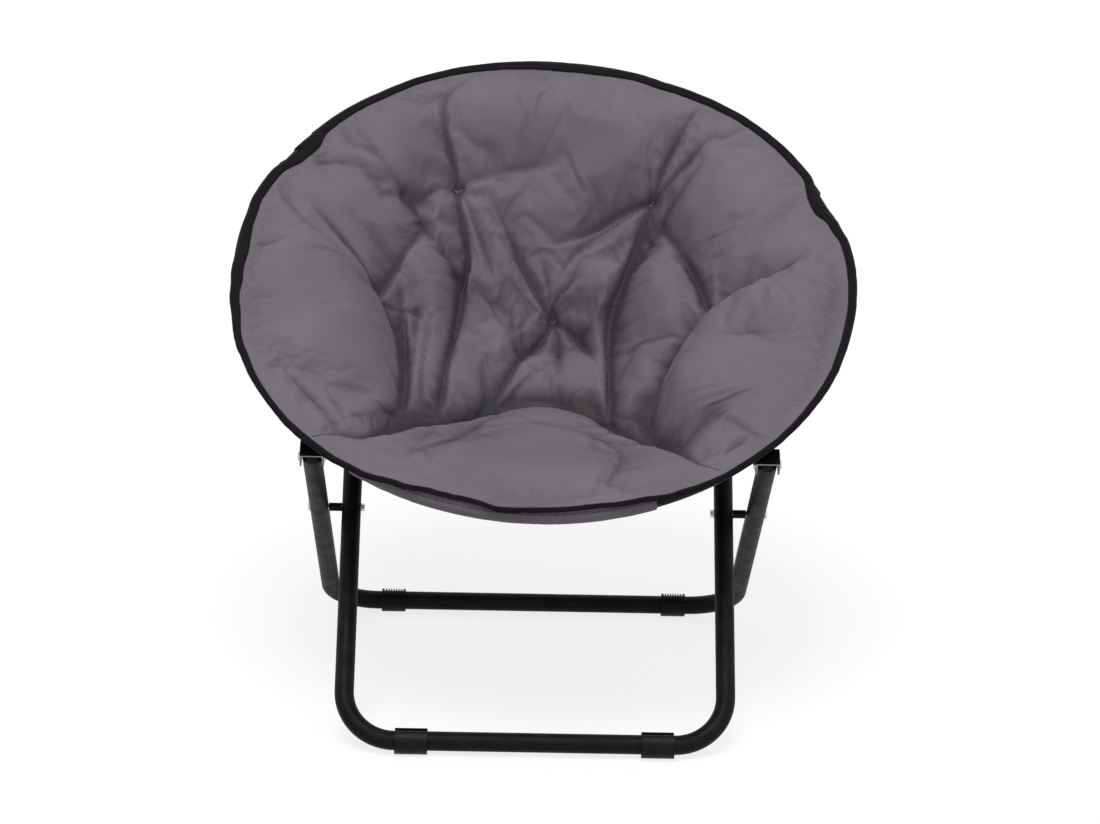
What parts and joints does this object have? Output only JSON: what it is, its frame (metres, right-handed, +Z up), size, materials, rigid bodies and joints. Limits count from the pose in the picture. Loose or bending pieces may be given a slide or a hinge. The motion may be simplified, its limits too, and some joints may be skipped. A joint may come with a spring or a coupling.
{
  "type": "folding saucer chair",
  "caption": "Folding saucer chair: a padded fabric bowl on a hinged ring of tube, carried by two crossed U-shaped tube legs that fold flat.",
  "frame": {"origin": "on the floor under the middle of the whole chair", "axes": "+X to the right as seen from the front, +Y to the rear, +Z up; the front of the seat faces -Y"},
  "size_m": [0.821, 0.7118, 0.759],
  "materials": {
    "black_tube": "satin black powder coat",
    "black_plastic": "moulded, fine matt texture",
    "zinc_steel": "bright zinc plate",
    "grey_fabric": "woven polyester, warm grey, slight sheen",
    "binding_tape": "black woven tape"
  },
  "bodies": {
    "front_leg": {"front_leg_bar": "black_tube", "front_leg_side_left": "black_tube", "front_leg_side_right": "black_tube", "front_leg_cap_left": "black_plastic", "front_leg_cap_right": "black_plastic", "front_foot_clip_left": "black_plastic", "front_foot_clip_right": "black_plastic", "scissor_spacer_left": "black_tube", "scissor_spacer_right": "black_tube", "scissor_bolt_left": "zinc_steel", "scissor_bolt_right": "zinc_steel"},
    "ring_rear": {"ring_rear_tube": "black_tube", "rear_bracket_left": "black_tube", "rear_bracket_right": "black_tube", "rear_pivot_pin_left": "zinc_steel", "rear_pivot_pin_right": "zinc_steel", "hinge_end_rear_left": "black_tube", "hinge_end_rear_right": "black_tube", "ring_hinge_pin_left": "zinc_steel", "ring_hinge_pin_right": "zinc_steel", "back_sleeve_middle": "grey_fabric", "back_sleeve_left": "grey_fabric", "back_sleeve_right": "grey_fabric", "seat_pad_rear": "grey_fabric", "binding_rear": "binding_tape"},
    "ring_front": {"ring_front_tube": "black_tube", "front_bracket_left": "black_tube", "front_bracket_right": "black_tube", "front_pivot_pin_left": "zinc_steel", "front_pivot_pin_right": "zinc_steel", "hinge_end_front_left": "black_tube", "hinge_end_front_right": "black_tube", "front_sleeve": "grey_fabric", "seat_pad_front": "grey_fabric", "binding_front": "binding_tape"},
    "rear_leg": {"rear_leg_bar": "black_tube", "rear_leg_side_left": "black_tube", "rear_leg_side_right": "black_tube", "rear_leg_cap_left": "black_plastic", "rear_leg_cap_right": "black_plastic", "rear_foot_clip_left": "black_plastic", "rear_foot_clip_right": "black_plastic", "scissor_nut_left": "zinc_steel", "scissor_nut_right": "zinc_steel"}
  },
  "joints": [
    {"name": "ring_fold", "type": "hinge", "parent": "ring_rear", "child": "ring_front", "pos_m": [0, -0.15232, 0.45102], "axis": [-1, 0, 0], "range_deg": [0, 150], "deforming": ["seat_pad_front", "seat_pad_rear", "binding_front", "binding_rear"]},
    {"name": "rear_pivot", "type": "hinge", "parent": "front_leg", "child": "ring_rear", "pos_m": [0, 0.28526, 0.67459], "axis": [1, 0, 0], "range_deg": [0, 18.68]},
    {"name": "front_pivot", "type": "hinge", "parent": "ring_front", "child": "rear_leg", "pos_m": [0, -0.22991, 0.37234], "axis": [1, 0, 0], "range_deg": [0, 73.27]}
  ],
  "couplings": [
    {"joint": "rear_pivot", "follows": "ring_fold", "ratio": 0.12417},
    {"joint": "front_pivot", "follows": "ring_fold", "ratio": 0.48816}
  ]
}
